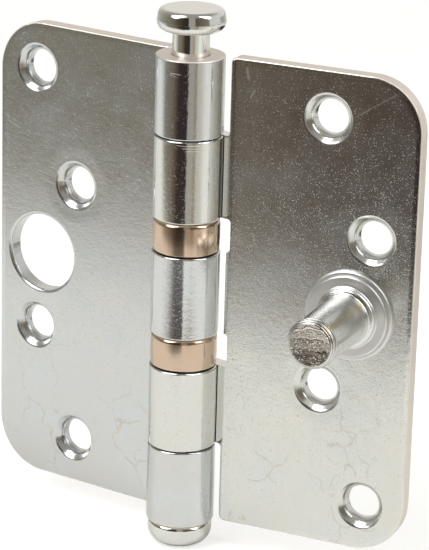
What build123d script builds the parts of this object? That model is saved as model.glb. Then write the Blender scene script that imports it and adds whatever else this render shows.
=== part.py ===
from build123d import *
import math
import os

os.makedirs("parts", exist_ok=True)

# Ball bearing butt hinge with a security stud, in millimetres.
# The hinge axis is Z, and Z = 0 is the middle of the leaves' height. The countersunk faces
# look towards -Y. The left leaf lies along -X, and the right leaf is turned open past flat.

# Leaves, each one folded sheet
leaf_height = 89.0
leaf_reach = 43.9            # hinge axis to the free edge
sheet = 2.9
corner_radius = 9.8          # outer corners of a leaf
inner_corner_radius = 1.2    # corners beside the barrel
face_setback = 1.45          # countersunk face behind the hinge axis
open_angle = 189.5           # between the countersunk faces as the hinge stands
edge_rounding = 0.3          # rolled-over edge of the stamped sheet

# Rolled knuckles
pin_radius = 3.35
pin_clearance = 0.05
swage_start = 8.2            # hinge axis to where the flat sheet starts to bend back
swage_radius = 3.0           # of the bend's middle surface
tip_gap = 0.15               # rolled end to its own leaf
knuckle_clearance = 0.95     # leaf's edge to the other leaf's knuckles
bearing_clearance = 1.75     # leaf's edge to the barrel's line beside a bearing
relief_rounding = 0.7

# Heights down the barrel
top_knuckle = 14.5
bottom_knuckle = 14.9
bearing_height = 6.4
knuckle_gap = 0.2            # between knuckles that have no bearing between them

# Screw holes, counted from the free edge and from the ends of the leaf
screw_hole_radius = 3.15
countersink_radius = 4.5     # where the cone would meet the leaf's face
countersink_rim_rounding = 0.7
countersink_throat_rounding = 2.0
outer_row_margin = 8.5
row_spacing = 9.2
end_hole_margin = 8.7
middle_hole_rise = 14.65     # from mid-height to the two middle holes

# Security stud and the hole that takes it
stud_margin = 12.05          # stud's axis to the free edge
stud_rise = 0.3              # above mid-height
stud_inner_clearance = 0.35  # stud's foot to the hole as the hinge stands closed
stud_outer_clearance = 1.6   # hole to the stud's tip, which swings wide as the hinge closes
stud_hole_rounding = 0.6
stud_height = 18.4           # above the leaf's face
stud_flange_radius = 8.4
stud_flange_thickness = 0.9
stud_flange_rounding = 0.4
stud_step_radius = 7.6
stud_step_height = 1.5
stud_collar_radius = 5.6
stud_collar_height = 2.5
stud_collar_rounding = 0.65
stud_step_rounding = 0.3
stud_root_radius = 4.75
stud_root_slope = 0.2
stud_root_rounding = 0.3
stud_shaft_radius = 4.4      # where the shaft is thinnest, below the ring
stud_ring_length = 0.6
stud_groove_radius = 4.1
stud_groove_slope = 0.15
stud_groove_length = 0.6
stud_lip_radius = 4.5        # of the ring and the lip, on each side of the groove
stud_lip_length = 0.35
stud_lip_rounding = 0.1
stud_tip_length = 0.55
stud_tip_rounding = 0.35
stud_end_radius = 3.7
stud_spigot_radius = 4.0
stud_rivet_radius = 5.3
stud_rivet_depth = 1.3
seat_clearance = 0.02        # between pieces that are pressed or riveted together

# Loose pin
pin_lift = 4.4               # how far the pin is drawn up as the hinge stands
pin_seat_gap = 0.1           # left under the head when the pin is home
pin_end_gap = 0.5            # pin's end to the plug when the pin is home
pin_end_chamfer = 0.7
pin_head_flare = 0.3         # foot past the barrel's line, before it is rounded
pin_head_taper = 0.8         # its top is narrower than its foot
pin_head_height = 4.0
pin_head_top_rounding = 1.1
pin_head_bottom_rounding = 1.7

# Plug in the bottom knuckle
plug_head_inset = 0.3        # head's edge inside the barrel's line
plug_head_height = 4.75
plug_top_rounding = 1.1
plug_end_rounding = 2.9
plug_shank_length = 7.0
plug_chamfer = 0.6

# Thrust bearings
balls_per_bearing = 12
ball_side_clearance = 0.075  # ball to the cup's wall, and ball to the pin's bore
ball_spacing = 0.05          # least gap from ball to ball
ball_clearance = 0.05
race_groove_depth = 0.35
race_bore_clearance = 0.10
running_gap = 0.3            # between bearing pieces that turn past each other
cup_inset = 0.15             # cup's wall inside the barrel's line
cup_wall = 0.55
cup_top = 0.6
cup_bow = 0.1                # how far the cup's wall bows out at its middle height
cup_rounding = 0.95
cup_rim_rounding = 0.2
cup_seam = 0.25              # under the cup's rim
cup_lip = 0.4                # height of the rim that is curled in
cup_lip_reach = 0.6

# Worked out from the sizes above
bore_radius = pin_radius + pin_clearance
barrel_radius = bore_radius + sheet
knuckle_relief = barrel_radius + knuckle_clearance
bearing_relief = barrel_radius + bearing_clearance
half_height = leaf_height / 2
inner_knuckle = (leaf_height - top_knuckle - bottom_knuckle - 2 * bearing_height) / 3
knuckle_1_bottom = half_height - top_knuckle
knuckle_2_bottom = knuckle_1_bottom - inner_knuckle
knuckle_3_top = knuckle_2_bottom - bearing_height
knuckle_3_bottom = knuckle_3_top - inner_knuckle
knuckle_4_top = knuckle_3_bottom - bearing_height
knuckle_5_top = knuckle_4_top - inner_knuckle
left_knuckles = [(-half_height, knuckle_5_top), (knuckle_3_bottom, knuckle_3_top),
                 (knuckle_1_bottom, half_height)]
right_knuckles = [(knuckle_5_top + knuckle_gap, knuckle_4_top),
                  (knuckle_2_bottom, knuckle_1_bottom - knuckle_gap)]
bearing_feet = {"upper": knuckle_3_top, "lower": knuckle_4_top}
outer_row = leaf_reach - outer_row_margin
inner_row = outer_row - row_spacing
end_hole_rise = half_height - end_hole_margin
right_leaf_turn = open_angle - 180
stud_reach = leaf_reach - stud_margin
stud_swing = math.hypot(stud_reach + stud_lip_radius, stud_height - stud_tip_length - face_setback)
stud_hole_inner = stud_reach - stud_root_radius - stud_inner_clearance
stud_hole_outer = stud_swing + stud_outer_clearance
stud_hole_radius = (stud_hole_outer - stud_hole_inner) / 2
stud_hole_reach = (stud_hole_outer + stud_hole_inner) / 2
past_edge = 5.0              # how far a cutting tool runs past the sheet

# Path of the rolled sheet, as angles about the hinge axis counted from the leaf's own side
swage_centre = (swage_start, face_setback + sheet / 2 + swage_radius)
swage_and_roll = swage_radius + bore_radius + sheet / 2
straight_run = math.sqrt(math.hypot(*swage_centre)**2 - swage_and_roll**2)
roll_start = math.degrees(math.atan2(swage_centre[1], swage_centre[0])
                          + math.atan2(straight_run, swage_and_roll))
roll_turn = 360 - math.degrees(math.acos((bore_radius - tip_gap) / barrel_radius))
roll_end = roll_start + roll_turn

# Inside a bearing. Balls are as large as the race's width and circle let them be, and heights
# are counted up from the knuckle that the bearing stands on.
cup_radius = barrel_radius - cup_inset
cup_inside = cup_radius - cup_wall
race_bore = pin_radius + race_bore_clearance
ball_circle = (race_bore + cup_inside) / 2
width_for_balls = (cup_inside - race_bore) / 2 - ball_side_clearance
circle_for_balls = ball_circle * math.sin(math.pi / balls_per_bearing) - ball_spacing / 2
ball_radius = min(width_for_balls, circle_for_balls)
track_height = 2 * (ball_radius + ball_clearance - race_groove_depth)
race_height = (bearing_height - cup_top - track_height) / 2
ball_height = race_height + track_height / 2


def on_circle(radius, degrees):
    turn = math.radians(degrees)
    return (radius * math.cos(turn), radius * math.sin(turn))


def shifted(point, offset):
    return (point[0] + offset[0], point[1] + offset[1])


def rounded_corner(outline, corner, rounding):
    """The outline with the corner nearest to a point rounded."""
    return fillet(outline.vertices().sort_by_distance((*corner, 0))[0], rounding)


def turned(rows):
    """Solid turned about Z. A row is a radius, a height and the rounding of that corner."""
    outline = make_face(Polyline(*[(radius, height) for radius, height, _ in rows], close=True))
    for radius, height, rounding in rows:
        if rounding:
            outline = rounded_corner(outline, (radius, height), rounding)
    return revolve(Plane.XZ * outline, Axis.Z)


def rolled_section():
    """Cross-section of a leaf with a rolled knuckle: free edge at +X, countersunk face at -Y.

    The flat sheet bends back on the swage radius, runs straight to the barrel and is rolled
    round the pin until its end stands just clear of its own leaf.
    """
    face = face_setback
    back = face_setback + sheet
    inner_swage = swage_radius - sheet / 2
    outer_swage = swage_radius + sheet / 2
    swage_side = roll_start + 180
    swage_turn = 90 - roll_start
    with BuildSketch() as section:
        with BuildLine():
            Line((leaf_reach, face), (swage_start, face))
            CenterArc(swage_centre, outer_swage, 270, -swage_turn)
            Line(shifted(swage_centre, on_circle(outer_swage, swage_side)),
                 on_circle(bore_radius, roll_start))
            CenterArc((0, 0), bore_radius, roll_start, roll_turn)
            Line(on_circle(bore_radius, roll_end), on_circle(barrel_radius, roll_end))
            CenterArc((0, 0), barrel_radius, roll_end, -roll_turn)
            Line(on_circle(barrel_radius, roll_start),
                 shifted(swage_centre, on_circle(inner_swage, swage_side)))
            CenterArc(swage_centre, inner_swage, swage_side, swage_turn)
            Line((swage_start, back), (leaf_reach, back))
            Line((leaf_reach, back), (leaf_reach, face))
        make_face()
    return section.sketch


def relief(reach, low, high):
    """Tool that cuts a leaf back to a reach from the hinge axis between two heights."""
    start = -barrel_radius - past_edge
    tool = Pos((start + reach) / 2, 0, (low + high) / 2) * Box(
        reach - start, 4 * barrel_radius, high - low)
    corners = tool.edges().filter_by(Axis.Y).group_by(Axis.X)[-1]
    return fillet(corners, relief_rounding)


def screw_hole(reach, height):
    """Countersunk hole through a leaf, pressed in from the face at -Y with soft edges."""
    sink_depth = countersink_radius - screw_hole_radius
    rows = [
        (0, -past_edge, 0),
        (countersink_radius + past_edge, -past_edge, 0),
        (countersink_radius + past_edge, 0, 0),
        (countersink_radius, 0, countersink_rim_rounding),
        (screw_hole_radius, sink_depth, countersink_throat_rounding),
        (screw_hole_radius, sheet + past_edge, 0),
        (0, sheet + past_edge, 0),
    ]
    return Pos(reach, face_setback, height) * Rot(X=-90) * turned(rows)


def through_hole(reach, height, radius):
    middle = Pos(reach, face_setback + sheet / 2, height)
    return middle * Rot(X=90) * Cylinder(radius, sheet + 2 * past_edge)


def gaps_between(knuckles):
    """Heights of a leaf that its knuckles leave free, the lowest first."""
    bounds = [-half_height - past_edge]
    for low, high in knuckles:
        bounds += [low, high]
    bounds.append(half_height + past_edge)
    gaps = zip(bounds[::2], bounds[1::2])
    return [(low, high) for low, high in gaps if low < half_height and high > -half_height]


def leaf_blank(knuckles):
    """One leaf along +X, before its holes: sheet, rolled knuckles, rounded corners and edges."""
    blank = Pos(0, 0, -half_height) * extrude(rolled_section(), leaf_height)
    for low, high in gaps_between(knuckles):
        blank -= relief(knuckle_relief, low, high)
    for foot in bearing_feet.values():
        blank -= relief(bearing_relief, foot, foot + bearing_height)
    free_corners = blank.edges().filter_by(Axis.Y).group_by(Axis.X)[-1]
    blank = fillet(free_corners, corner_radius)
    inner_corners = [edge for edge in blank.edges().filter_by(Axis.Y)
                     if abs(edge.center().X - knuckle_relief) < 0.01
                     and abs(edge.center().Z) > half_height - 0.01]
    if inner_corners:
        blank = fillet(inner_corners, inner_corner_radius)
    return rounded_edges(blank, knuckles)


def knuckle_end(height, inward):
    """Tool that rounds a knuckle's outer edge. Inward is 1 at its lower end and -1 at its upper."""
    inside = barrel_radius - edge_rounding
    outside = barrel_radius + edge_rounding
    with BuildSketch() as corner:
        with BuildLine():
            Polyline((inside, 0), (inside, -edge_rounding), (outside, -edge_rounding),
                     (outside, edge_rounding), (barrel_radius, edge_rounding))
            CenterArc((inside, edge_rounding), edge_rounding, 0, -90)
        make_face()
    tool = revolve(Plane.XZ * corner.sketch, Axis.Z, roll_turn)
    tool = Rot(Z=roll_start) * tool
    if inward < 0:
        tool = mirror(tool, Plane.XY)
    return Pos(0, 0, height) * tool


def rounded_edges(blank, knuckles):
    """Roll the edges over, round the outline and then at each knuckle end that it doesn't reach."""
    free_end = blank.edges().filter_by_position(Axis.X, leaf_reach - corner_radius, leaf_reach)
    blank = fillet(free_end.filter_by(Axis.Y, reverse=True), edge_rounding)
    for low, high in knuckles:
        for height, inward in ((low, 1), (high, -1)):
            sharp = [arc for arc in blank.edges().filter_by(GeomType.CIRCLE)
                     if abs(arc.radius - barrel_radius) < 0.01
                     and abs(arc.center().Z - height) < 0.01]
            if sharp:
                blank -= knuckle_end(height, inward)
    return blank


def rivet_seat():
    """Cone sunk in the right leaf's back, which the stud's tail is spread into."""
    seat_radius = stud_rivet_radius + seat_clearance
    rows = [
        (0, -past_edge, 0),
        (seat_radius, -past_edge, 0),
        (seat_radius, 0, 0),
        (stud_spigot_radius, stud_rivet_depth, 0),
        (0, stud_rivet_depth, 0),
    ]
    return Pos(stud_reach, face_setback + sheet, stud_rise) * Rot(X=90) * turned(rows)


def left_leaf():
    """Leaf with the top, middle and bottom knuckles and the hole for the stud."""
    leaf = leaf_blank(left_knuckles)
    leaf -= screw_hole(outer_row, end_hole_rise)
    leaf -= screw_hole(inner_row, middle_hole_rise)
    leaf -= screw_hole(outer_row, -middle_hole_rise)
    leaf -= screw_hole(inner_row, -end_hole_rise)
    leaf -= through_hole(stud_hole_reach, 0, stud_hole_radius)
    rim = [edge for edge in leaf.edges().filter_by(GeomType.CIRCLE)
           if abs(edge.radius - stud_hole_radius) < 0.01
           and abs(edge.center().Y - face_setback) < 0.01]
    leaf = fillet(rim, stud_hole_rounding)
    return mirror(leaf, Plane.YZ)


def right_leaf():
    """Leaf with the second and fourth knuckles, riveted to the stud."""
    leaf = leaf_blank(right_knuckles)
    leaf -= screw_hole(inner_row, end_hole_rise)
    leaf -= screw_hole(outer_row, middle_hole_rise)
    leaf -= screw_hole(inner_row, -middle_hole_rise)
    leaf -= screw_hole(outer_row, -end_hole_rise)
    leaf -= through_hole(stud_reach, stud_rise, stud_spigot_radius + seat_clearance)
    leaf -= rivet_seat()
    return Rot(Z=right_leaf_turn) * leaf


def security_stud():
    """Turned stud that stands on the right leaf's face and is riveted over in its back."""
    lip_low = stud_height - stud_tip_length - stud_lip_length
    groove_low = lip_low - stud_groove_length
    ring_low = groove_low - stud_ring_length
    rows = [
        (0, -sheet, 0),
        (stud_rivet_radius, -sheet, 0),
        (stud_spigot_radius, stud_rivet_depth - sheet, 0),
        (stud_spigot_radius, 0, 0),
        (stud_flange_radius, 0, 0),
        (stud_flange_radius, stud_flange_thickness, stud_flange_rounding),
        (stud_step_radius, stud_flange_thickness, 0),
        (stud_step_radius, stud_step_height, stud_step_rounding),
        (stud_collar_radius, stud_step_height, stud_step_rounding),
        (stud_collar_radius, stud_collar_height, stud_collar_rounding),
        (stud_root_radius, stud_collar_height + stud_root_slope, stud_root_rounding),
        (stud_shaft_radius, ring_low, 0),
        (stud_lip_radius, ring_low + stud_groove_slope, stud_lip_rounding),
        (stud_lip_radius, groove_low, stud_lip_rounding),
        (stud_groove_radius, groove_low + stud_groove_slope, 0),
        (stud_groove_radius, lip_low - stud_groove_slope, 0),
        (stud_lip_radius, lip_low, stud_lip_rounding),
        (stud_lip_radius, lip_low + stud_lip_length, stud_tip_rounding),
        (stud_end_radius, stud_height, stud_tip_rounding),
        (0, stud_height, 0),
    ]
    on_face = Pos(stud_reach, face_setback, stud_rise) * Rot(X=90) * turned(rows)
    return Rot(Z=right_leaf_turn) * on_face


def hinge_pin():
    """Loose pin with a button head, drawn up by its lift."""
    shank_end = pin_end_gap + plug_shank_length - leaf_height - pin_seat_gap
    foot_radius = barrel_radius + pin_head_flare
    rows = [
        (0, shank_end, 0),
        (pin_radius - pin_end_chamfer, shank_end, 0),
        (pin_radius, shank_end + pin_end_chamfer, 0),
        (pin_radius, 0, 0),
        (foot_radius, 0, pin_head_bottom_rounding),
        (foot_radius - pin_head_taper, pin_head_height, pin_head_top_rounding),
        (0, pin_head_height, 0),
    ]
    return Pos(0, 0, half_height + pin_lift) * turned(rows)


def bottom_plug():
    """Plug pressed into the bottom knuckle, with a domed head below it."""
    shank_radius = bore_radius - seat_clearance
    head_radius = barrel_radius - plug_head_inset
    rows = [
        (0, -plug_head_height, 0),
        (head_radius, -plug_head_height, plug_end_rounding),
        (head_radius, 0, plug_top_rounding),
        (shank_radius, 0, 0),
        (shank_radius, plug_shank_length - plug_chamfer, 0),
        (shank_radius - plug_chamfer, plug_shank_length, 0),
        (0, plug_shank_length, 0),
    ]
    return Pos(0, 0, -half_height) * turned(rows)


def bearing_cup():
    """Drawn cup that wraps the bearing, open below, with its wall bowed and its rim curled in."""
    lip_top = cup_seam + cup_lip
    lip_radius = cup_inside - cup_lip_reach
    rim = (cup_radius - cup_bow, cup_seam)
    shoulder = (cup_radius - cup_bow, bearing_height)
    middle = (cup_radius, (cup_seam + bearing_height) / 2)
    with BuildSketch() as section:
        with BuildLine():
            Polyline(shoulder, (race_bore, bearing_height), (race_bore, bearing_height - cup_top),
                     (cup_inside, bearing_height - cup_top), (cup_inside, lip_top),
                     (lip_radius, lip_top), (lip_radius, cup_seam), rim)
            ThreePointArc(rim, middle, shoulder)
        make_face()
    outline = section.sketch
    for corner, rounding in ((rim, cup_rim_rounding), (shoulder, cup_rounding)):
        outline = rounded_corner(outline, corner, rounding)
    return revolve(Plane.XZ * outline, Axis.Z)


def ball_groove():
    """Track that the balls leave in a race, as a tool."""
    return Pos(0, 0, ball_height) * Torus(ball_circle, ball_radius + ball_clearance)


def bearing_top_race():
    rows = [
        (race_bore, race_height + track_height, 0),
        (cup_inside - seat_clearance, race_height + track_height, 0),
        (cup_inside - seat_clearance, bearing_height - cup_top, 0),
        (race_bore, bearing_height - cup_top, 0),
    ]
    return turned(rows) - ball_groove()


def bearing_bottom_race():
    """Lower race, stepped in at its foot so that the cup's rim holds it."""
    shoulder = cup_seam + cup_lip + running_gap
    foot_radius = cup_inside - cup_lip_reach - running_gap
    rows = [
        (race_bore, 0, 0),
        (foot_radius, 0, 0),
        (foot_radius, shoulder, 0),
        (cup_inside - running_gap, shoulder, 0),
        (cup_inside - running_gap, race_height, 0),
        (race_bore, race_height, 0),
    ]
    return turned(rows) - ball_groove()


def bearing_ball(number):
    turn = 360 * number / balls_per_bearing
    return Rot(Z=turn) * Pos(ball_circle, 0, ball_height) * Sphere(ball_radius)


def save(name, solid):
    solid.label = name
    export_step(solid, f"parts/{name}.step")


save("left_leaf", left_leaf())
save("right_leaf", right_leaf())
save("security_stud", security_stud())
save("hinge_pin", hinge_pin())
save("bottom_plug", bottom_plug())

for place, foot in bearing_feet.items():
    stand = Pos(0, 0, foot)
    save(f"{place}_bearing_cup", stand * bearing_cup())
    save(f"{place}_bearing_top_race", stand * bearing_top_race())
    save(f"{place}_bearing_bottom_race", stand * bearing_bottom_race())
    for number in range(balls_per_bearing):
        save(f"{place}_bearing_ball_{number + 1:02d}", stand * bearing_ball(number))
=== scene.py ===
"""Looks of a ball bearing butt hinge with a loose pin and a security stud, in metres."""
import math

import bpy
from mathutils import Matrix, Vector


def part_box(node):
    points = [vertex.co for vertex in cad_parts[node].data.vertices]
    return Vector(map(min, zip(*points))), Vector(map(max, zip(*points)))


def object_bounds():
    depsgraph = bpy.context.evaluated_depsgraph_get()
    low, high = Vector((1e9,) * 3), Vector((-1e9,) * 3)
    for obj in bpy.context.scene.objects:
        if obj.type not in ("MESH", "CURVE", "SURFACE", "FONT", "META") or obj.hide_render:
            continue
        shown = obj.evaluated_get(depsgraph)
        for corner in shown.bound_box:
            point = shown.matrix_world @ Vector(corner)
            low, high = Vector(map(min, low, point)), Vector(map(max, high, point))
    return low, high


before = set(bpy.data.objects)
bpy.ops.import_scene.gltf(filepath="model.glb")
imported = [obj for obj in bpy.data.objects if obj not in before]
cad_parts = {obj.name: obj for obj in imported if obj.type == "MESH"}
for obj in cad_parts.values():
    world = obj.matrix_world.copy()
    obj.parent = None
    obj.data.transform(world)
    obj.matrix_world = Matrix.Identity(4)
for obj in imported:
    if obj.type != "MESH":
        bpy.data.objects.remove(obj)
cad_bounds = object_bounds()

MM = 0.001

# Photograph, in its own pixels, and the camera that took it
PHOTO_WIDTH = 429
PHOTO_HEIGHT = 550
FOCAL_LENGTH = 2809.9        # pixels
SENSOR_WIDTH = 36.0
HINGE_PIXEL = (185.05, 290.61)    # where the hinge axis shows at the leaves' middle height
CAMERA_DISTANCE = 513.4 * MM      # to that point
CAMERA_TURN = math.radians(33.77)
CAMERA_PITCH = math.radians(18.49)
CAMERA_ROLL = math.radians(1.60)

# Sizes of the hinge that the finishes follow, in millimetres unless they are read from it
BARREL_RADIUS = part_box("left_leaf")[1][0]
LOWEST = cad_bounds[0][2]
RIGHT_LEAF_TURN = math.radians(9.5)
FACE_SETBACK = 1.45
KNUCKLE_3 = (-7.6, 8.0)      # foot and top of the middle knuckle
LEAF_REACH = 43.9
LEAF_TOP = 44.5
CORNER_RADIUS = 9.8
STUD_REACH = 31.85
STUD_RISE = 0.3
STUD_HEIGHT = 18.4
LEFT_HOLES = [(-35.4, 35.8), (-26.2, 14.65), (-35.4, -14.65), (-26.2, -35.8)]
RIGHT_HOLES = [(26.2, 35.8), (35.4, 14.65), (26.2, -14.65), (35.4, -35.8)]

# Marks of the making on the sheet, in millimetres. A pair is where one begins and ends.
COUNTERSINK_RIM = (4.6, 4.9)     # from a screw hole's middle
DISHED_TO = 7.6                  # from a screw hole's middle
DISH_DEPTH = 0.045
SHEARED = (0.3, 0.1)             # in from the outline
BURNISHED = (1.2, 0.7)           # in from the outline
DRAWN_DOWN = (1.1, 0.1)          # in from the outline
BEHIND_FACE = (0.8, 1.4)         # where the front face's marks fade out
ROLLED = (0.2, 2.1)              # out from the barrel
WAIST_DEPTH = 0.18
SKIN_DEPTH = 0.02
PRESSED_SKIN_DEPTH = 0.002
SHEARED_SKIN_DEPTH = 0.06
PIT_DROP = 0.5                   # as a share of the skin's depth
SCRATCH_DROP = 3.0               # as a share of the skin's depth, times the scratch's roughness
STAIN_HEIGHTS = (-28, -8)

# How rough each part of the sheet is
SKIN_ROUGHNESS = (0.18, 0.25)
ROLLED_ROUGHNESS = 0.09
PRESSED_ROUGHNESS = 0.21
BURNISHED_ROUGHNESS = 0.1
SHEARED_ROUGHNESS = 0.55

# Marks of the making on the stud, in millimetres
TORN_END = (0.02, 0.12)          # back from the tip
TORN_DEPTH = 0.3
LIP_LENGTH = (1.5, 1.8)          # back from the tip
GROOVE_SPACING = 0.55
GROOVE_DEPTH = 0.025
RING_DEPTH = 0.014
STUD_SKIN_DEPTH = 0.035
SHAFT_EDGE = (5.0, 5.6)          # out from the stud's axis
FLANGE_EDGE = (5.4, 5.8)         # out from the stud's axis
TINGE_TURN = math.radians(46)    # round the stud's axis

# How rough each part of the stud is
SHAFT_ROUGHNESS = 0.2
FLANGE_ROUGHNESS = 0.31
TORN_ROUGHNESS = 0.3

# Scratches: middle, turn in degrees, length, width and how rough they are
LEFT_SCRATCHES = [((-41, 24), 20, 3.0, 0.25, 0.1), ((1.0, 42.1), 0, 2.2, 0.16, 0.25),
                  ((0.6, 41.7), 12, 1.4, 0.12, 0.16)]
RIGHT_SCRATCHES = [((35.4, 39.5), -34, 11.0, 0.12, 0.12), ((10.5, 41.9), 80, 2.4, 0.5, 0.15),
                   ((11.6, 38.2), -61, 1.8, 0.14, 0.2), ((2.6, 29.1), 0, 4.2, 0.12, 0.25),
                   ((3.0, 28.6), 1, 3.2, 0.12, 0.2), ((3.1, 28.1), 0, 2.4, 0.12, 0.16)]

# Studio round the hinge. Turns are in degrees to the right of the camera, seen from the hinge,
# and each tone has its turn, its colour and how far it covers what is behind it.
FLOOR_WHITE = 1.28           # strength at which the camera sees the table as white
DARK_TONES = [(-150, "#b2b3ae", 0.0), (-125, "#b2b3ae", 0.5), (-98, "#b2b3ae", 0.6), (-86, "#98958a", 1.0),
              (-79, "#8f8b7e", 1.0), (-55, "#7d7364", 1.0), (-45, "#665a50", 1.0), (-36, "#40352f", 1.0),
              (-32, "#643232", 1.0), (-28, "#2c2a34", 1.0), (-5, "#3a3b44", 1.0)]
NEAR_TONES = [(-64, "#857b6c", 0.0), (-54, "#7d7364", 0.2), (-45, "#665a50", 0.5), (-36, "#40352f", 0.8),
              (-8, "#3a3332", 0.9), (-4, "#3a3332", 0.0)]
GREY_TONES = [(-5, "#b8b3a8", 1.0), (12, "#b8b3a8", 1.0), (20, "#a39381", 1.0), (27, "#d6cfc0", 1.0),
              (40, "#dcd9cf", 0.9), (55, "#e6e3da", 0.0)]
RIGHT_TONES = [(92, "#7d837d", 0.0), (108, "#6c716b", 0.6), (122, "#40433d", 1.0), (150, "#40433d", 1.0),
               (178, "#6c716b", 0.0)]
ROOM_TONES = [(-180, "#f4efe9", 1), (-150, "#c8c4b8", 1), (-120, "#aba89e", 1), (-90, "#8e8b7e", 1),
              (-67, "#7c786b", 1), (-50, "#5d5548", 1), (-25, "#40332c", 1), (-9, "#2a2728", 1),
              (-8, "#b0aba3", 1), (13, "#b0aba3", 1), (14, "#5f5646", 1), (60, "#8a8274", 1),
              (66, "#e2e2de", 1), (120, "#e6e6e2", 1), (180, "#f4efe9", 1)]
CEILING_TONE = "#a5a29b"
CARD_SIDES = 24              # straight sides of a card's curved edge
CARD_START = 0.9             # where a card begins, as a share of where its tone does
CARD_REACH = 3.0             # metres


def colour(code):
    """Linear colour, with alpha, from an sRGB hex value."""
    channels = [int(code[place:place + 2], 16) / 255 for place in (1, 3, 5)]
    linear = [channel / 12.92 if channel <= 0.04045 else ((channel + 0.055) / 1.055) ** 2.4
              for channel in channels]
    return (*linear, 1.0)


def per_mm(size):
    """Texture scale that gives features of a size in millimetres."""
    return 1 / (size * MM)


def add_node(tree, kind, inputs=None, **settings):
    """Add a node, set its properties, and give each input a value or a link."""
    node = tree.nodes.new(kind)
    for name, value in settings.items():
        setattr(node, name, value)
    for name, value in (inputs or {}).items():
        if isinstance(value, bpy.types.NodeSocket):
            tree.links.new(value, node.inputs[name])
        else:
            node.inputs[name].default_value = value
    return node


def new_material(name):
    """An empty node material with a Principled shader, and the shader."""
    material = bpy.data.materials.new(name)
    material.use_nodes = True
    tree = material.node_tree
    tree.nodes.clear()
    shader = add_node(tree, "ShaderNodeBsdfPrincipled", {"Metallic": 1.0})
    add_node(tree, "ShaderNodeOutputMaterial", {"Surface": shader.outputs["BSDF"]})
    return material, tree, shader


def least_distance(tree, place, points):
    """Distance from a place to the nearest of some points in the leaf's plane."""
    flat = add_node(tree, "ShaderNodeVectorMath", {0: place, 1: (1, 0, 1)}, operation="MULTIPLY")
    nearest = None
    for across, up in points:
        away = add_node(tree, "ShaderNodeVectorMath", {0: flat.outputs["Vector"],
                        1: (across * MM, 0, up * MM)}, operation="DISTANCE")
        if nearest is None:
            nearest = away.outputs["Value"]
        else:
            nearest = add_node(tree, "ShaderNodeMath", {0: nearest, 1: away.outputs["Value"]},
                               operation="MINIMUM").outputs[0]
    return nearest


def scratch(tree, place, middle, turn, length, width):
    """Cover of one scratch in the leaf's plane: its middle and size in mm and its turn in degrees."""
    along = add_node(tree, "ShaderNodeMapping",
                     {"Vector": place, "Location": (middle[0] * MM, 0, middle[1] * MM),
                      "Rotation": (0, math.radians(turn), 0)}, vector_type="TEXTURE")
    axes = add_node(tree, "ShaderNodeSeparateXYZ", {"Vector": along.outputs["Vector"]})
    cover = None
    for axis, size in (("X", length / 2), ("Z", width / 2)):
        away = add_node(tree, "ShaderNodeMath", {0: axes.outputs[axis]}, operation="ABSOLUTE")
        inside = add_node(tree, "ShaderNodeMapRange",
                          {"Value": away.outputs[0], "From Min": size * 0.6 * MM,
                           "From Max": size * 1.4 * MM, "To Min": 1.0, "To Max": 0.0})
        if cover is None:
            cover = inside.outputs["Result"]
        else:
            cover = add_node(tree, "ShaderNodeMath", {0: cover, 1: inside.outputs["Result"]},
                             operation="MULTIPLY").outputs[0]
    return cover


def outline_distance(tree, place):
    """Distance that grows to the corner radius at the leaf's rounded outline."""
    sides = add_node(tree, "ShaderNodeVectorMath", {0: place}, operation="ABSOLUTE")
    corner = add_node(tree, "ShaderNodeVectorMath",
                      {0: sides.outputs["Vector"],
                       1: ((LEAF_REACH - CORNER_RADIUS) * MM, 1.0, (LEAF_TOP - CORNER_RADIUS) * MM)},
                      operation="SUBTRACT")
    outside = add_node(tree, "ShaderNodeVectorMath", {0: corner.outputs["Vector"], 1: (0, 0, 0)},
                       operation="MAXIMUM")
    away = add_node(tree, "ShaderNodeVectorMath", {0: outside.outputs["Vector"]}, operation="LENGTH")
    return away.outputs["Value"]


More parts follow.
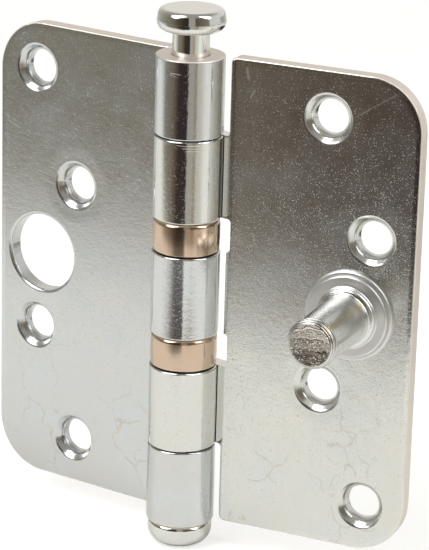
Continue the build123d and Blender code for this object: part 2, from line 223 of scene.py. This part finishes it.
def zinc_plated_sheet(name, leaf_turn, holes, scratches, plate_tones, speckle, edge_drop):
    """Bright zinc plate on cold-rolled sheet: a grey mirror, softened by the sheet's pebbled skin.

    Pressing the countersinks has dished the sheet round them, shearing has drawn the face down at the
    outline and left the rim dull, and the rolled knuckles are smoother.
    """
    material, tree, shader = new_material(name)
    place = add_node(tree, "ShaderNodeTexCoord").outputs["Object"]
    place = add_node(tree, "ShaderNodeMapping",
                     {"Vector": place, "Rotation": (0, 0, -leaf_turn)}).outputs["Vector"]
    axes = add_node(tree, "ShaderNodeSeparateXYZ", {"Vector": place})
    ground = add_node(tree, "ShaderNodeVectorMath", {0: place, 1: (1, 1, 0)}, operation="MULTIPLY")
    from_axis = add_node(tree, "ShaderNodeVectorMath", {0: ground.outputs["Vector"]},
                         operation="LENGTH")
    rolled = add_node(tree, "ShaderNodeMapRange",
                      {"Value": from_axis.outputs["Value"], "From Min": BARREL_RADIUS + ROLLED[0] * MM,
                       "From Max": BARREL_RADIUS + ROLLED[1] * MM, "To Min": 1.0, "To Max": 0.0})
    rolled = rolled.outputs["Result"]

    outline = outline_distance(tree, place)
    sheared = add_node(tree, "ShaderNodeMapRange",
                       {"Value": outline, "From Min": (CORNER_RADIUS - SHEARED[0]) * MM,
                        "From Max": (CORNER_RADIUS - SHEARED[1]) * MM}).outputs["Result"]
    from_hole = least_distance(tree, place, holes)
    pressed = add_node(tree, "ShaderNodeMapRange",
                       {"Value": from_hole, "From Min": COUNTERSINK_RIM[0] * MM,
                        "From Max": COUNTERSINK_RIM[1] * MM,
                        "To Min": 1.0, "To Max": 0.0}).outputs["Result"]

    clouds = add_node(tree, "ShaderNodeTexNoise",
                      {"Vector": place, "Scale": per_mm(9), "Detail": 5.0, "Roughness": 0.65})
    grain = add_node(tree, "ShaderNodeTexNoise",
                     {"Vector": place, "Scale": per_mm(0.9), "Detail": 3.0, "Roughness": 0.75})
    # Pits in the plate, drawn coarse enough to show in the render
    specks = add_node(tree, "ShaderNodeTexNoise",
                      {"Vector": place, "Scale": per_mm(0.22), "Detail": 0.0})
    pits = add_node(tree, "ShaderNodeMapRange",
                    {"Value": specks.outputs["Fac"], "From Min": 0.69, "From Max": 0.84})
    bare = add_node(tree, "ShaderNodeMapRange", {"Value": rolled, "To Min": 1.0, "To Max": 0.4})
    bare = add_node(tree, "ShaderNodeMath", {0: bare.outputs["Result"], 1: pressed},
                    operation="SUBTRACT", use_clamp=True)
    marks = add_node(tree, "ShaderNodeMath", {0: pits.outputs["Result"], 1: bare.outputs[0]},
                     operation="MULTIPLY").outputs[0]
    scored = 0.0
    for middle, turn, length, width, roughness in scratches:
        cover = scratch(tree, place, middle, turn, length, width)
        scored = add_node(tree, "ShaderNodeMath", {0: cover, 1: roughness, 2: scored},
                          operation="MULTIPLY_ADD").outputs[0]

    # Brownish hairlines where plating fluid dried, low down on the hinge
    wavy = add_node(tree, "ShaderNodeTexNoise", {"Vector": place, "Scale": per_mm(3.5), "Detail": 5.0})
    shifted = add_node(tree, "ShaderNodeVectorMath",
                       {0: wavy.outputs["Color"], 1: (5 * MM, 5 * MM, 5 * MM), 2: place},
                       operation="MULTIPLY_ADD")
    cells = add_node(tree, "ShaderNodeTexVoronoi",
                     {"Vector": shifted.outputs["Vector"], "Scale": per_mm(7)},
                     feature="DISTANCE_TO_EDGE")
    lines = add_node(tree, "ShaderNodeMapRange",
                     {"Value": cells.outputs["Distance"], "From Min": 0.006, "From Max": 0.03,
                      "To Min": 0.45, "To Max": 0.0})
    some = add_node(tree, "ShaderNodeMapRange",
                    {"Value": clouds.outputs["Fac"], "From Min": 0.5, "From Max": 0.56})
    low = add_node(tree, "ShaderNodeMapRange",
                   {"Value": axes.outputs["Z"], "From Min": STAIN_HEIGHTS[0] * MM,
                    "From Max": STAIN_HEIGHTS[1] * MM, "To Min": 1.0, "To Max": 0.0})
    stain = add_node(tree, "ShaderNodeMath", {0: lines.outputs["Result"], 1: some.outputs["Result"]},
                     operation="MULTIPLY")
    stain = add_node(tree, "ShaderNodeMath", {0: stain.outputs[0], 1: low.outputs["Result"]},
                     operation="MULTIPLY")
    stain = add_node(tree, "ShaderNodeMath", {0: stain.outputs[0], 1: bare.outputs[0]},
                     operation="MULTIPLY")

    plate = add_node(tree, "ShaderNodeMapRange",
                     {"Value": clouds.outputs["Fac"], "From Min": 0.35, "From Max": 0.65})
    base = add_node(tree, "ShaderNodeMix",
                    {"Factor": plate.outputs["Result"], "A": colour(plate_tones[0]),
                     "B": colour(plate_tones[1])}, data_type="RGBA")
    stained = add_node(tree, "ShaderNodeMix",
                       {"Factor": stain.outputs[0], "A": base.outputs["Result"],
                        "B": colour("#b9a891")}, data_type="RGBA")
    # Painted sheen: the sheared rim's colour is a paler pink, standing in for the pale room it reflects
    painted_rim_sheen = add_node(tree, "ShaderNodeMix",
                     {"Factor": sheared, "A": stained.outputs["Result"], "B": colour("#e8e0d9")},
                     data_type="RGBA")
    tree.links.new(painted_rim_sheen.outputs["Result"], shader.inputs["Base Color"])

    cloudy = add_node(tree, "ShaderNodeMapRange",
                      {"Value": clouds.outputs["Fac"], "From Min": 0.35, "From Max": 0.65,
                       "To Min": SKIN_ROUGHNESS[0], "To Max": SKIN_ROUGHNESS[1]})
    smooth = add_node(tree, "ShaderNodeMapRange",
                      {"Value": rolled, "To Min": cloudy.outputs["Result"],
                       "To Max": ROLLED_ROUGHNESS})
    flat = add_node(tree, "ShaderNodeMapRange",
                    {"Value": pressed, "To Min": smooth.outputs["Result"],
                     "To Max": PRESSED_ROUGHNESS})
    burnished = add_node(tree, "ShaderNodeMapRange",
                         {"Value": outline, "From Min": (CORNER_RADIUS - BURNISHED[0]) * MM,
                          "From Max": (CORNER_RADIUS - BURNISHED[1]) * MM,
                          "To Min": flat.outputs["Result"], "To Max": BURNISHED_ROUGHNESS})
    cut = add_node(tree, "ShaderNodeMapRange",
                   {"Value": sheared, "To Min": burnished.outputs["Result"],
                    "To Max": SHEARED_ROUGHNESS})
    rough = add_node(tree, "ShaderNodeMath", {0: marks, 1: speckle, 2: cut.outputs["Result"]},
                     operation="MULTIPLY_ADD")
    rough = add_node(tree, "ShaderNodeMath", {0: scored, 1: rough.outputs[0]}, operation="ADD")
    tree.links.new(rough.outputs[0], shader.inputs["Roughness"])

    # The punch and the shear drew in the front face alone
    front = add_node(tree, "ShaderNodeMapRange",
                     {"Value": axes.outputs["Y"], "From Min": (FACE_SETBACK + BEHIND_FACE[0]) * MM,
                      "From Max": (FACE_SETBACK + BEHIND_FACE[1]) * MM, "To Min": 1.0, "To Max": 0.0})
    dish = add_node(tree, "ShaderNodeMapRange",
                    {"Value": from_hole, "From Min": COUNTERSINK_RIM[0] * MM,
                     "From Max": DISHED_TO * MM},
                    interpolation_type="SMOOTHSTEP")
    dished = add_node(tree, "ShaderNodeBump",
                      {"Height": dish.outputs["Result"], "Strength": front.outputs["Result"],
                       "Distance": DISH_DEPTH * MM})
    drawn_down = add_node(tree, "ShaderNodeMapRange",
                          {"Value": outline, "From Min": (CORNER_RADIUS - DRAWN_DOWN[0]) * MM,
                           "From Max": (CORNER_RADIUS - DRAWN_DOWN[1]) * MM,
                           "To Min": 1.0, "To Max": 0.0},
                          interpolation_type="SMOOTHSTEP")
    drawn_down = add_node(tree, "ShaderNodeBump",
                          {"Height": drawn_down.outputs["Result"], "Strength": front.outputs["Result"],
                           "Distance": edge_drop * MM, "Normal": dished.outputs["Normal"]})
    up = add_node(tree, "ShaderNodeMapRange",
                  {"Value": axes.outputs["Z"], "From Min": KNUCKLE_3[0] * MM,
                   "From Max": KNUCKLE_3[1] * MM, "To Min": -1.0, "To Max": 1.0})
    waist = add_node(tree, "ShaderNodeMath", {0: up.outputs["Result"], 1: up.outputs["Result"]},
                     operation="MULTIPLY")
    waist = add_node(tree, "ShaderNodeMath", {0: waist.outputs[0], 1: rolled}, operation="MULTIPLY")
    waisted = add_node(tree, "ShaderNodeBump", {"Height": waist.outputs[0], "Strength": 1.0,
                       "Distance": WAIST_DEPTH * MM, "Normal": drawn_down.outputs["Normal"]})
    skin = add_node(tree, "ShaderNodeMath", {0: pits.outputs["Result"], 1: -PIT_DROP,
                    2: grain.outputs["Fac"]}, operation="MULTIPLY_ADD")
    skin = add_node(tree, "ShaderNodeMath", {0: scored, 1: -SCRATCH_DROP, 2: skin.outputs[0]},
                    operation="MULTIPLY_ADD")
    depth = add_node(tree, "ShaderNodeMapRange",
                     {"Value": pressed, "To Min": SKIN_DEPTH * MM, "To Max": PRESSED_SKIN_DEPTH * MM})
    depth = add_node(tree, "ShaderNodeMapRange",
                     {"Value": sheared, "To Min": depth.outputs["Result"],
                      "To Max": SHEARED_SKIN_DEPTH * MM})
    pebbled = add_node(tree, "ShaderNodeBump",
                       {"Height": skin.outputs[0], "Strength": 1.0, "Distance": depth.outputs["Result"],
                        "Normal": waisted.outputs["Normal"]})
    tree.links.new(pebbled.outputs["Normal"], shader.inputs["Normal"])
    return material


def polished_zinc():
    """Bright zinc on a turned and polished pin: a near mirror with faint lengthwise streaks."""
    material, tree, shader = new_material("polished_zinc")
    place = add_node(tree, "ShaderNodeTexCoord").outputs["Object"]
    streaks = add_node(tree, "ShaderNodeMapping",
                       {"Vector": place, "Scale": (per_mm(1.2), per_mm(1.2), per_mm(30))})
    streaks = add_node(tree, "ShaderNodeTexNoise",
                       {"Vector": streaks.outputs["Vector"], "Scale": 1.0, "Detail": 2.0})
    bump = add_node(tree, "ShaderNodeBump",
                    {"Height": streaks.outputs["Fac"], "Strength": 1.0, "Distance": 0.006 * MM})
    tree.links.new(bump.outputs["Normal"], shader.inputs["Normal"])
    shader.inputs["Base Color"].default_value = colour("#dcddda")
    shader.inputs["Roughness"].default_value = 0.1
    return material


def coppery_cup():
    """Drawn steel cup under a thin coppery plate, bright from the drawing die."""
    material, tree, shader = new_material("coppery_plated_cup")
    place = add_node(tree, "ShaderNodeTexCoord").outputs["Object"]
    drawn = add_node(tree, "ShaderNodeTexNoise",
                     {"Vector": place, "Scale": per_mm(2.5), "Detail": 3.0})
    bump = add_node(tree, "ShaderNodeBump",
                    {"Height": drawn.outputs["Fac"], "Strength": 1.0, "Distance": 0.005 * MM})
    tree.links.new(bump.outputs["Normal"], shader.inputs["Normal"])
    shader.inputs["Base Color"].default_value = colour("#cdb7a3")
    shader.inputs["Roughness"].default_value = 0.15
    return material


def stud_place(tree):
    """Object coordinates about the stud's foot, with Y along the stud and towards its tip."""
    place = add_node(tree, "ShaderNodeTexCoord").outputs["Object"]
    turned = add_node(tree, "ShaderNodeMapping", {"Vector": place, "Rotation": (0, 0, -RIGHT_LEAF_TURN)})
    return add_node(tree, "ShaderNodeVectorMath",
                    {0: turned.outputs["Vector"], 1: (STUD_REACH * MM, FACE_SETBACK * MM, STUD_RISE * MM)},
                    operation="SUBTRACT").outputs["Vector"]


def turned_zinc():
    """Zinc over a turned stud: satin, with fine tool rings, and a torn brown end where it was sheared."""
    material, tree, shader = new_material("turned_zinc")
    place = stud_place(tree)
    axes = add_node(tree, "ShaderNodeSeparateXYZ", {"Vector": place})
    round_axis = add_node(tree, "ShaderNodeVectorMath", {0: place, 1: (1, 0, 1)}, operation="MULTIPLY")
    radius = add_node(tree, "ShaderNodeVectorMath", {0: round_axis.outputs["Vector"]},
                      operation="LENGTH")
    tip = add_node(tree, "ShaderNodeMapRange",
                   {"Value": axes.outputs["Y"], "From Min": -(STUD_HEIGHT - TORN_END[0]) * MM,
                    "From Max": -(STUD_HEIGHT - TORN_END[1]) * MM, "To Min": 1.0, "To Max": 0.0})
    torn = tip.outputs["Result"]

    # Tool rings, drawn coarse enough to show in the render
    rings = add_node(tree, "ShaderNodeCombineXYZ",
                     {"X": radius.outputs["Value"], "Y": axes.outputs["Y"]})
    rings = add_node(tree, "ShaderNodeTexNoise",
                     {"Vector": rings.outputs["Vector"], "Scale": per_mm(0.4), "Detail": 1.0})

    # Deeper grooves of the parting tool round the lip, darkened in them as painted shade
    lip = add_node(tree, "ShaderNodeMapRange",
                   {"Value": axes.outputs["Y"], "From Min": -(STUD_HEIGHT - LIP_LENGTH[0]) * MM,
                    "From Max": -(STUD_HEIGHT - LIP_LENGTH[1]) * MM, "To Min": 1.0, "To Max": 0.0})
    lip = lip.outputs["Result"]
    across = add_node(tree, "ShaderNodeMath", {0: axes.outputs["Y"], 1: radius.outputs["Value"]},
                      operation="ADD")
    grooves = add_node(tree, "ShaderNodeMath",
                       {0: across.outputs[0], 1: 2 * math.pi / (GROOVE_SPACING * MM)},
                       operation="MULTIPLY")
    grooves = add_node(tree, "ShaderNodeMath", {0: grooves.outputs[0]}, operation="SINE")
    groove_shade = add_node(tree, "ShaderNodeMapRange",
                     {"Value": grooves.outputs[0], "From Min": -1.0, "From Max": 0.0,
                      "To Min": 0.75, "To Max": 0.0})
    groove_shade = add_node(tree, "ShaderNodeMath", {0: groove_shade.outputs["Result"], 1: lip},
                     operation="MULTIPLY")
    groove_depth = add_node(tree, "ShaderNodeMapRange",
                            {"Value": lip, "To Min": 0.0, "To Max": GROOVE_DEPTH * MM})
    grooved = add_node(tree, "ShaderNodeBump",
                       {"Height": grooves.outputs[0], "Strength": 1.0,
                        "Distance": groove_depth.outputs["Result"]})

    # Pebbled skin of the plate, over the grooves and rings
    pebbles = add_node(tree, "ShaderNodeTexNoise",
                       {"Vector": place, "Scale": per_mm(0.4), "Detail": 3.0, "Roughness": 0.7})
    turned_bump = add_node(tree, "ShaderNodeBump",
                           {"Height": rings.outputs["Fac"], "Strength": 1.0, "Distance": RING_DEPTH * MM,
                            "Normal": grooved.outputs["Normal"]})
    skin = add_node(tree, "ShaderNodeBump",
                    {"Height": pebbles.outputs["Fac"], "Strength": 1.0,
                     "Distance": STUD_SKIN_DEPTH * MM,
                     "Normal": turned_bump.outputs["Normal"]})

    # Torn end: fine wavy ridges across it in relief, with crumbs. Its colour is painted light: pale
    # painted highlights on the ridges, weaker low down so the end is darker and browner there, and painted
    # glints on the crumbs, over dark brown that stands as painted shade in the valleys
    wander = add_node(tree, "ShaderNodeTexNoise", {"Vector": place, "Scale": per_mm(2.2), "Detail": 4.0})
    level = add_node(tree, "ShaderNodeMath", {0: wander.outputs["Fac"], 1: 2.6 * MM,
                     2: axes.outputs["Z"]}, operation="MULTIPLY_ADD")
    ridges = add_node(tree, "ShaderNodeCombineXYZ", {"Z": level.outputs[0]})
    ridges = add_node(tree, "ShaderNodeTexNoise",
                      {"Vector": ridges.outputs["Vector"], "Scale": per_mm(0.3), "Detail": 2.0})
    ridges = add_node(tree, "ShaderNodeMapRange",
                      {"Value": ridges.outputs["Fac"], "From Min": 0.41, "From Max": 0.56})
    crumbs = add_node(tree, "ShaderNodeTexNoise",
                      {"Vector": place, "Scale": per_mm(0.3), "Detail": 1.0})
    painted_glints = add_node(tree, "ShaderNodeMapRange",
                       {"Value": crumbs.outputs["Fac"], "From Min": 0.57, "From Max": 0.66})
    relief = add_node(tree, "ShaderNodeMath", {0: crumbs.outputs["Fac"], 1: 1.4,
                      2: ridges.outputs["Result"]}, operation="MULTIPLY_ADD")
    rugged = add_node(tree, "ShaderNodeBump",
                      {"Height": relief.outputs[0], "Strength": 1.0, "Distance": TORN_DEPTH * MM})
    # Painted highlight: the ridges are paler high up, where the light falls on them
    high = add_node(tree, "ShaderNodeMapRange",
                    {"Value": axes.outputs["Z"], "From Min": -2.0 * MM, "From Max": 2.2 * MM,
                     "To Min": 0.2, "To Max": 0.95})
    pale = add_node(tree, "ShaderNodeMath", {0: ridges.outputs["Result"], 1: high.outputs["Result"]},
                    operation="MULTIPLY")
    pale = add_node(tree, "ShaderNodeMath", {0: pale.outputs[0], 1: painted_glints.outputs["Result"]},
                    operation="MAXIMUM")
    brown = add_node(tree, "ShaderNodeMix",
                     {"Factor": pale.outputs[0], "A": colour("#3f3229"), "B": colour("#f6f0e6")},
                     data_type="RGBA")
    normal = add_node(tree, "ShaderNodeMix",
                      {"Factor": torn, "A": skin.outputs["Normal"], "B": rugged.outputs["Normal"]},
                      data_type="VECTOR")

    # A yellow tinge in a narrow strip along the shaft, at a fixed turn round its axis
    angle = add_node(tree, "ShaderNodeMath", {0: axes.outputs["Z"], 1: axes.outputs["X"]},
                     operation="ARCTAN2")
    angle = add_node(tree, "ShaderNodeMath", {0: angle.outputs[0], 1: TINGE_TURN},
                     operation="SUBTRACT")
    angle = add_node(tree, "ShaderNodeMath", {0: angle.outputs[0]}, operation="ABSOLUTE")
    tinge = add_node(tree, "ShaderNodeMapRange",
                     {"Value": angle.outputs[0], "From Min": math.radians(3),
                      "From Max": math.radians(11), "To Min": 1.1, "To Max": 0.0})
    shaft = add_node(tree, "ShaderNodeMapRange",
                     {"Value": radius.outputs["Value"], "From Min": SHAFT_EDGE[0] * MM,
                      "From Max": SHAFT_EDGE[1] * MM, "To Min": 1.0, "To Max": 0.0})
    tinge = add_node(tree, "ShaderNodeMath", {0: tinge.outputs["Result"], 1: shaft.outputs["Result"]},
                     operation="MULTIPLY")
    tinge = add_node(tree, "ShaderNodeMath", {0: tinge.outputs[0], 1: pebbles.outputs["Fac"]},
                     operation="MULTIPLY")
    plate = add_node(tree, "ShaderNodeMix",
                     {"Factor": tinge.outputs[0], "A": colour("#dedfde"), "B": colour("#eadcae")},
                     data_type="RGBA")
    # Painted shade in the lip's grooves
    plate = add_node(tree, "ShaderNodeMix",
                     {"Factor": groove_shade.outputs[0], "A": plate.outputs["Result"], "B": colour("#6d675f")},
                     data_type="RGBA")
    base = add_node(tree, "ShaderNodeMix",
                    {"Factor": torn, "A": plate.outputs["Result"], "B": brown.outputs["Result"]},
                    data_type="RGBA")

    # The flange is duller than the shaft
    flange = add_node(tree, "ShaderNodeMapRange",
                      {"Value": radius.outputs["Value"], "From Min": FLANGE_EDGE[0] * MM,
                       "From Max": FLANGE_EDGE[1] * MM,
                       "To Min": SHAFT_ROUGHNESS, "To Max": FLANGE_ROUGHNESS})
    rough = add_node(tree, "ShaderNodeMapRange",
                     {"Value": torn, "To Min": flange.outputs["Result"],
                      "To Max": TORN_ROUGHNESS})
    tree.links.new(normal.outputs["Result"], shader.inputs["Normal"])
    tree.links.new(base.outputs["Result"], shader.inputs["Base Color"])
    tree.links.new(rough.outputs["Result"], shader.inputs["Roughness"])
    return material


def bearing_steel():
    """Ground and polished bearing steel."""
    material, _, shader = new_material("bearing_steel")
    shader.inputs["Base Color"].default_value = colour("#c6c7c9")
    shader.inputs["Roughness"].default_value = 0.1
    return material


def give_finish(material, nodes):
    """Put one material on each of the named CAD nodes."""
    for name in nodes:
        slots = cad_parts[name].material_slots
        for slot in slots:
            slot.material = material


def direction(turn, rise):
    """Unit vector at a turn to the right of the camera, seen from the hinge, and a rise in degrees."""
    turn = math.radians(turn) + CAMERA_TURN
    rise = math.radians(rise)
    return Vector((math.sin(turn) * math.cos(rise), -math.cos(turn) * math.cos(rise), math.sin(rise)))


def photo_camera():
    """Camera that gives the photograph's view and frame."""
    right = Vector((math.cos(CAMERA_TURN), math.sin(CAMERA_TURN), 0))
    ahead = Vector((-math.sin(CAMERA_TURN), math.cos(CAMERA_TURN), 0))
    forward = ahead * math.cos(CAMERA_PITCH) - Vector((0, 0, math.sin(CAMERA_PITCH)))
    up = right.cross(forward)
    rolled_right = right * math.cos(CAMERA_ROLL) + up * math.sin(CAMERA_ROLL)
    rolled_up = up * math.cos(CAMERA_ROLL) - right * math.sin(CAMERA_ROLL)
    across = (HINGE_PIXEL[0] - PHOTO_WIDTH / 2) / FOCAL_LENGTH
    above = (PHOTO_HEIGHT / 2 - HINGE_PIXEL[1]) / FOCAL_LENGTH
    ray = forward + rolled_right * across + rolled_up * above
    data = bpy.data.cameras.new("camera")
    data.sensor_fit = "HORIZONTAL"
    data.sensor_width = SENSOR_WIDTH
    data.lens = FOCAL_LENGTH * SENSOR_WIDTH / PHOTO_WIDTH
    data.clip_start = 0.05
    camera = bpy.data.objects.new("camera", data)
    frame_matrix = Matrix((rolled_right, rolled_up, -forward)).transposed()
    camera.matrix_world = Matrix.Translation(-ray * CAMERA_DISTANCE) @ frame_matrix.to_4x4()
    bpy.context.scene.collection.objects.link(camera)
    bpy.context.scene.camera = camera


def softbox(name, turn, rise, distance, width, height, power):
    """Oval area light aimed at the hinge."""
    data = bpy.data.lights.new(name, "AREA")
    data.shape = "ELLIPSE"
    data.size = width
    data.size_y = height
    data.energy = power
    light = bpy.data.objects.new(name, data)
    way = direction(turn, rise)
    light.location = way * distance
    light.rotation_euler = way.to_track_quat("Z", "Y").to_euler()
    bpy.context.scene.collection.objects.link(light)


def flat_card(name, corners, height):
    """A flat polygon at a height, as a stage piece."""
    mesh = bpy.data.meshes.new(name)
    mesh.from_pydata([(x, y, height) for x, y in corners], [], [list(range(len(corners)))])
    card = bpy.data.objects.new(name, mesh)
    bpy.context.scene.collection.objects.link(card)
    return card


def stage_material(name):
    """An empty material for a stage piece, and its node tree."""
    material = bpy.data.materials.new(name)
    material.use_nodes = True
    material.node_tree.nodes.clear()
    return material, material.node_tree


def pale_floor():
    """White table. The camera sees it as plain white, with a light shadow."""
    reach = 4.0
    corners = [(-reach, -reach), (reach, -reach), (reach, reach), (-reach, reach)]
    floor = flat_card("floor", corners, LOWEST)
    material, tree = stage_material("white_table")
    paint = add_node(tree, "ShaderNodeBsdfDiffuse", {"Color": colour("#f5f5f2")})
    white = add_node(tree, "ShaderNodeEmission", {"Color": colour("#ffffff"), "Strength": FLOOR_WHITE})
    seen = add_node(tree, "ShaderNodeMixShader",
                    {0: 0.5, 1: paint.outputs["BSDF"], 2: white.outputs["Emission"]})
    ray = add_node(tree, "ShaderNodeLightPath")
    both = add_node(tree, "ShaderNodeMixShader", {0: ray.outputs["Is Camera Ray"],
                    1: paint.outputs["BSDF"], 2: seen.outputs["Shader"]})
    add_node(tree, "ShaderNodeOutputMaterial", {"Surface": both.outputs["Shader"]})
    floor.data.materials.append(material)


def tone_by_turn(tree, place, tones):
    """Colour by the turn of a place about the hinge. Tones are turns, colours and cover."""
    first, last = tones[0][0], tones[-1][0]
    turned = add_node(tree, "ShaderNodeMapping", {"Vector": place, "Rotation": (0, 0, -CAMERA_TURN)})
    axes = add_node(tree, "ShaderNodeSeparateXYZ", {"Vector": turned.outputs["Vector"]})
    forward = add_node(tree, "ShaderNodeMath", {0: axes.outputs["Y"], 1: -1.0}, operation="MULTIPLY")
    turn = add_node(tree, "ShaderNodeMath", {0: axes.outputs["X"], 1: forward.outputs[0]},
                    operation="ARCTAN2")
    across = add_node(tree, "ShaderNodeMapRange",
                      {"Value": turn.outputs[0], "From Min": math.radians(first),
                       "From Max": math.radians(last)})
    ramp = add_node(tree, "ShaderNodeValToRGB", {"Fac": across.outputs["Result"]})
    stops = ramp.color_ramp.elements
    stops[0].position, stops[1].position = 0.0, 1.0
    for turn_at, _, _ in tones[1:-1]:
        stops.new((turn_at - first) / (last - first))
    for stop, (_, code, cover) in zip(stops, tones):
        stop.color = (*colour(code)[:3], cover)
    return ramp


def table_card(name, tones, edge_turn, near, fade, reach, height):
    """Card past the table's edge that only reflections see. The edge is square to a turn."""
    first, last = tones[0][0], tones[-1][0]
    turns = [first + (last - first) * step / CARD_SIDES for step in range(CARD_SIDES + 1)]
    inner = [direction(turn, 0) * near * CARD_START for turn in turns]
    outer = [direction(turn, 0) * reach for turn in reversed(turns)]
    card = flat_card(name, [(corner.x, corner.y) for corner in inner + outer], height)
    material, tree = stage_material(name)
    place = add_node(tree, "ShaderNodeTexCoord").outputs["Object"]
    ramp = tone_by_turn(tree, place, tones)
    ahead = add_node(tree, "ShaderNodeVectorMath", {0: place, 1: direction(edge_turn, 0)},
                     operation="DOT_PRODUCT")
    edge = add_node(tree, "ShaderNodeMapRange",
                    {"Value": ahead.outputs["Value"], "From Min": near, "From Max": near + fade},
                    interpolation_type="SMOOTHSTEP")
    cover = add_node(tree, "ShaderNodeMath", {0: ramp.outputs["Alpha"], 1: edge.outputs["Result"]},
                     operation="MULTIPLY")
    clear = add_node(tree, "ShaderNodeBsdfTransparent")
    tone = add_node(tree, "ShaderNodeEmission", {"Color": ramp.outputs["Color"], "Strength": 1.0})
    both = add_node(tree, "ShaderNodeMixShader",
                    {0: cover.outputs[0], 1: clear.outputs["BSDF"], 2: tone.outputs["Emission"]})
    add_node(tree, "ShaderNodeOutputMaterial", {"Surface": both.outputs["Shader"]})
    card.data.materials.append(material)
    card.visible_camera = False
    card.visible_diffuse = False
    card.visible_shadow = False


def studio_world():
    """Room round the table: dark in front, pale behind, grey above. It is white to the camera."""
    world = bpy.data.worlds.new("studio")
    bpy.context.scene.world = world
    world.use_nodes = True
    tree = world.node_tree
    tree.nodes.clear()
    way = add_node(tree, "ShaderNodeTexCoord").outputs["Generated"]
    walls = tone_by_turn(tree, way, ROOM_TONES)
    axes = add_node(tree, "ShaderNodeSeparateXYZ", {"Vector": way})
    high = add_node(tree, "ShaderNodeMapRange",
                    {"Value": axes.outputs["Z"], "From Min": 0.45, "From Max": 0.85},
                    interpolation_type="SMOOTHSTEP")
    tone = add_node(tree, "ShaderNodeMix",
                    {"Factor": high.outputs["Result"], "A": walls.outputs["Color"],
                     "B": colour(CEILING_TONE)}, data_type="RGBA")
    room = add_node(tree, "ShaderNodeBackground", {"Color": tone.outputs["Result"], "Strength": 1.0})
    seen = add_node(tree, "ShaderNodeBackground", {"Color": colour("#ffffff"), "Strength": 1.0})
    ray = add_node(tree, "ShaderNodeLightPath")
    both = add_node(tree, "ShaderNodeMixShader", {0: ray.outputs["Is Camera Ray"],
                    1: room.outputs["Background"], 2: seen.outputs["Background"]})
    add_node(tree, "ShaderNodeOutputWorld", {"Surface": both.outputs["Shader"]})


bpy.context.scene.view_settings.view_transform = "Standard"
photo_camera()
pale_floor()
studio_world()
table_card("dark_card", DARK_TONES, edge_turn=-40, near=0.104, fade=0.106,
           reach=CARD_REACH, height=LOWEST + 0.5 * MM)
table_card("near_dark_card", NEAR_TONES, edge_turn=-34, near=0.105, fade=0.022,
           reach=CARD_REACH, height=LOWEST + 0.7 * MM)
table_card("grey_card", GREY_TONES, edge_turn=20, near=0.138, fade=0.045,
           reach=CARD_REACH, height=LOWEST + 0.5 * MM)
table_card("right_card", RIGHT_TONES, edge_turn=120, near=0.115, fade=0.03,
           reach=0.29, height=LOWEST + 0.5 * MM)
softbox("left_softbox", turn=-60, rise=45, distance=0.9, width=0.56, height=1.0, power=6.3)
softbox("right_softbox", turn=63, rise=45, distance=1.0, width=0.4, height=1.05, power=4.4)

RACES = [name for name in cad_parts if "_race" in name or "_ball_" in name]
CUPS = [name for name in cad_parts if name.endswith("_cup")]
# Both leaves wear one plate; the right leaf's tones are painted lighter, a painted light level
give_finish(zinc_plated_sheet("zinc_plated_left_leaf", 0, LEFT_HOLES, LEFT_SCRATCHES,
                              plate_tones=("#cfcfce", "#d0d4d7"), speckle=0.05, edge_drop=0.02),
            ["left_leaf"])
give_finish(zinc_plated_sheet("zinc_plated_right_leaf", RIGHT_LEAF_TURN, RIGHT_HOLES, RIGHT_SCRATCHES,
                              plate_tones=("#d9d8d3", "#d6d9d8"), speckle=0.12, edge_drop=0.1),
            ["right_leaf"])
give_finish(polished_zinc(), ["hinge_pin", "bottom_plug"])
give_finish(turned_zinc(), ["security_stud"])
give_finish(coppery_cup(), CUPS)
give_finish(bearing_steel(), RACES)
